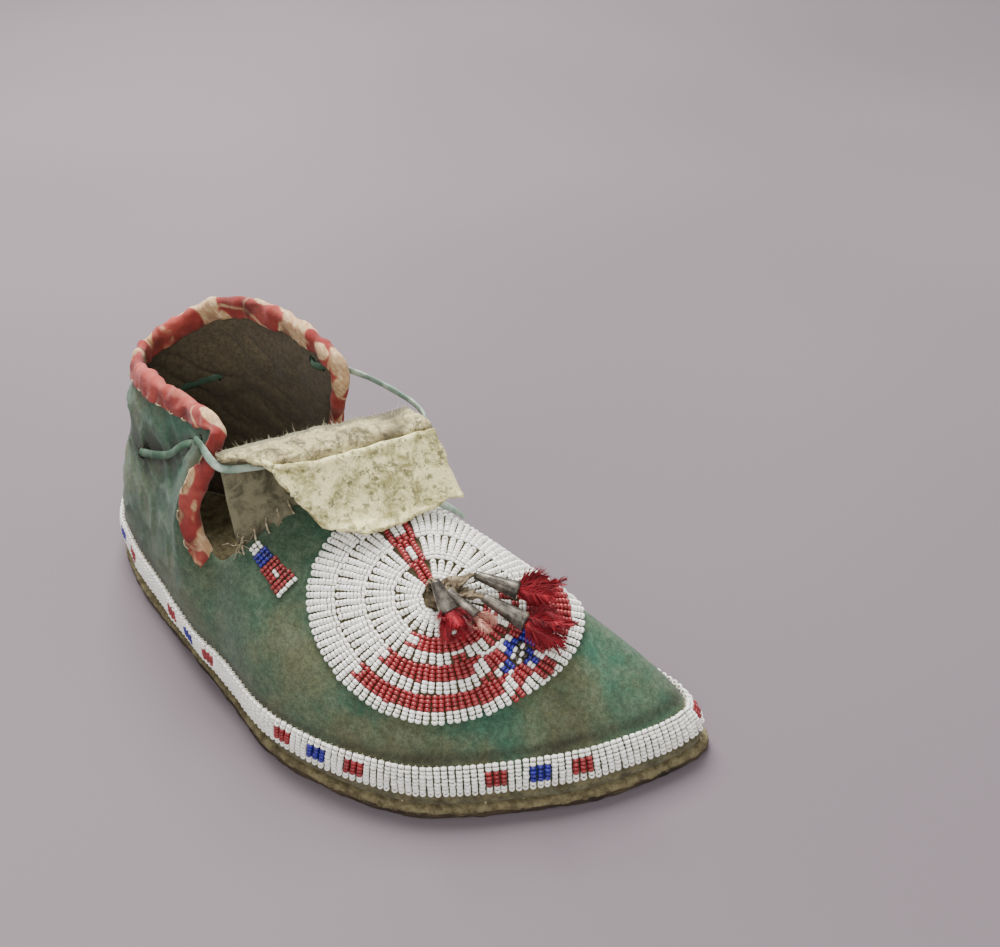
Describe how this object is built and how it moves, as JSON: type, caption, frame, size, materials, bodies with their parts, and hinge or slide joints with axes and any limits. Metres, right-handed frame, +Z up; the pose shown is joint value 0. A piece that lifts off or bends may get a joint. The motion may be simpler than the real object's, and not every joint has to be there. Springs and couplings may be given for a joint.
{
  "type": "beaded moccasin",
  "caption": "Hard-soled hide moccasin with beaded border and vamp rosette, cloth-bound collar, fold-over tongue, tie thong and cone tassels.",
  "frame": {"origin": "on the ground at the middle of the footprint, under the sole", "axes": "+X to the toe, -Y to the outer side of a right foot, +Z up"},
  "size_m": [0.2436, 0.1, 0.0996],
  "materials": {
    "rawhide": "rough",
    "green_hide": "matt suede",
    "thread": "matt",
    "print_cloth": "matt",
    "olive_hide": "matt suede",
    "cream_hide": "matt suede",
    "thong_hide": "matt",
    "lace_hide": "matt",
    "white_beads": "opaque gloss",
    "red_beads": "opaque gloss",
    "old_tin": "dull, worn",
    "red_hair": "matt"
  },
  "bodies": {
    "shoe": {"sole": "rawhide", "sole_stitches": "thread", "upper": "green_hide", "heel_seam_stitches": "thread", "collar_binding_lateral": "print_cloth", "collar_binding_medial": "print_cloth", "binding_stitches": "thread", "tongue_base": "olive_hide", "tongue_stitches": "thread", "tie_thong": "thong_hide", "tie_knot": "thong_hide", "tie_end_long": "thong_hide", "tie_end_short": "thong_hide", "border_lane": "white_beads", "rosette_ring_1": "white_beads", "rosette_ring_2": "white_beads", "rosette_ring_3": "white_beads", "rosette_ring_4": "white_beads", "rosette_stripe": "red_beads", "throat_tab_lateral": "red_beads", "throat_tab_medial": "red_beads", "tassel_knot": "lace_hide"},
    "flap": {"tongue_flap": "cream_hide"},
    "tassel_1": {"tassel_lace_1": "lace_hide", "tin_cone_1": "old_tin", "horsehair_tuft_1": "red_hair"},
    "tassel_2": {"tassel_lace_2": "lace_hide", "tin_cone_2": "old_tin", "horsehair_tuft_2": "red_hair"},
    "tassel_3": {"tassel_lace_3": "lace_hide", "tin_cone_3": "old_tin", "horsehair_tuft_3": "red_hair"},
    "tassel_4": {"tassel_lace_4": "lace_hide", "tin_cone_4": "old_tin", "horsehair_tuft_4": "red_hair"}
  },
  "joints": [
    {"name": "flap_fold", "type": "hinge", "parent": "shoe", "child": "flap", "pos_m": [-0.025, -0.0185, 0.087], "axis": [-0.4617, -0.887, 0], "range_deg": [0, 120]},
    {"name": "tassel_1_lift", "type": "hinge", "parent": "shoe", "child": "tassel_1", "pos_m": [0.04559, -0.00016, 0.05474], "axis": [0.6018, -0.7986, 0], "range_deg": [0, 65]},
    {"name": "tassel_2_lift", "type": "hinge", "parent": "shoe", "child": "tassel_2", "pos_m": [0.04559, -0.00016, 0.05474], "axis": [0.3665, -0.9304, 0], "range_deg": [0, 12]},
    {"name": "tassel_3_lift", "type": "hinge", "parent": "shoe", "child": "tassel_3", "pos_m": [0.04559, -0.00016, 0.05474], "axis": [-0.3256, -0.9455, 0], "range_deg": [0, 65]},
    {"name": "tassel_4_lift", "type": "hinge", "parent": "shoe", "child": "tassel_4", "pos_m": [0.04559, -0.00016, 0.05474], "axis": [0.1045, -0.9945, 0], "range_deg": [0, 15]}
  ]
}
